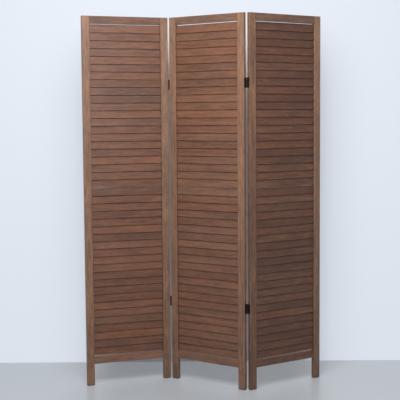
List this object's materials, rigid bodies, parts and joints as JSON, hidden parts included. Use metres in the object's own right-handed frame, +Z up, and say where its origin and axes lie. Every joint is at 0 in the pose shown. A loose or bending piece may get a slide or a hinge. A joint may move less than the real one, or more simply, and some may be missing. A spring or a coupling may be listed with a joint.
{
  "type": "louvered folding screen",
  "caption": "Free-standing folding screen of louvered wooden panels that stand in a zigzag and fold flat against each other on butt hinges.",
  "frame": {"origin": "on the floor, below the middle of the whole screen's box", "axes": "+Z up, -Y towards the front, +X to the right as seen from the front"},
  "size_m": [1.0962, 0.2454, 1.7],
  "materials": {
    "frame_wood": "walnut-brown stain, satin",
    "slat_wood": "walnut-brown stain, satin, each slat a little different",
    "dowel_wood": "plain beech",
    "hinge_metal": "dark bronze, satin",
    "screw_metal": "dark bronze, satin"
  },
  "bodies": {
    "middle_panel": {"left_joint_lower_hinge_middle_leaf": "hinge_metal", "left_joint_lower_hinge_pin": "hinge_metal", "left_joint_upper_hinge_middle_leaf": "hinge_metal", "left_joint_upper_hinge_pin": "hinge_metal", "middle_panel_bottom_rail": "frame_wood", "middle_panel_left_hinge_screws": "screw_metal", "middle_panel_left_stile": "frame_wood", "middle_panel_lower_slats": "slat_wood", "middle_panel_rail_dowels": "dowel_wood", "middle_panel_right_hinge_screws": "screw_metal", "middle_panel_right_stile": "frame_wood", "middle_panel_top_rail": "frame_wood", "middle_panel_upper_slats": "slat_wood", "right_joint_lower_hinge_middle_leaf": "hinge_metal", "right_joint_lower_hinge_pin": "hinge_metal", "right_joint_upper_hinge_middle_leaf": "hinge_metal", "right_joint_upper_hinge_pin": "hinge_metal"},
    "left_panel": {"left_joint_lower_hinge_outer_leaf": "hinge_metal", "left_joint_upper_hinge_outer_leaf": "hinge_metal", "left_panel_bottom_rail": "frame_wood", "left_panel_hinge_screws": "screw_metal", "left_panel_left_stile": "frame_wood", "left_panel_lower_slats": "slat_wood", "left_panel_rail_dowels": "dowel_wood", "left_panel_right_stile": "frame_wood", "left_panel_top_rail": "frame_wood", "left_panel_upper_slats": "slat_wood"},
    "right_panel": {"right_joint_lower_hinge_outer_leaf": "hinge_metal", "right_joint_upper_hinge_outer_leaf": "hinge_metal", "right_panel_bottom_rail": "frame_wood", "right_panel_hinge_screws": "screw_metal", "right_panel_left_stile": "frame_wood", "right_panel_lower_slats": "slat_wood", "right_panel_rail_dowels": "dowel_wood", "right_panel_right_stile": "frame_wood", "right_panel_top_rail": "frame_wood", "right_panel_upper_slats": "slat_wood"}
  },
  "joints": [
    {"name": "left_panel_fold", "type": "hinge", "parent": "middle_panel", "child": "left_panel", "pos_m": [-0.15649, 0.10501, 0], "axis": [0, 0, 1], "range_deg": [-53.6, 126.4]},
    {"name": "right_panel_fold", "type": "hinge", "parent": "middle_panel", "child": "right_panel", "pos_m": [0.19581, -0.10781, 0], "axis": [0, 0, 1], "range_deg": [-67.4, 112.6]}
  ]
}
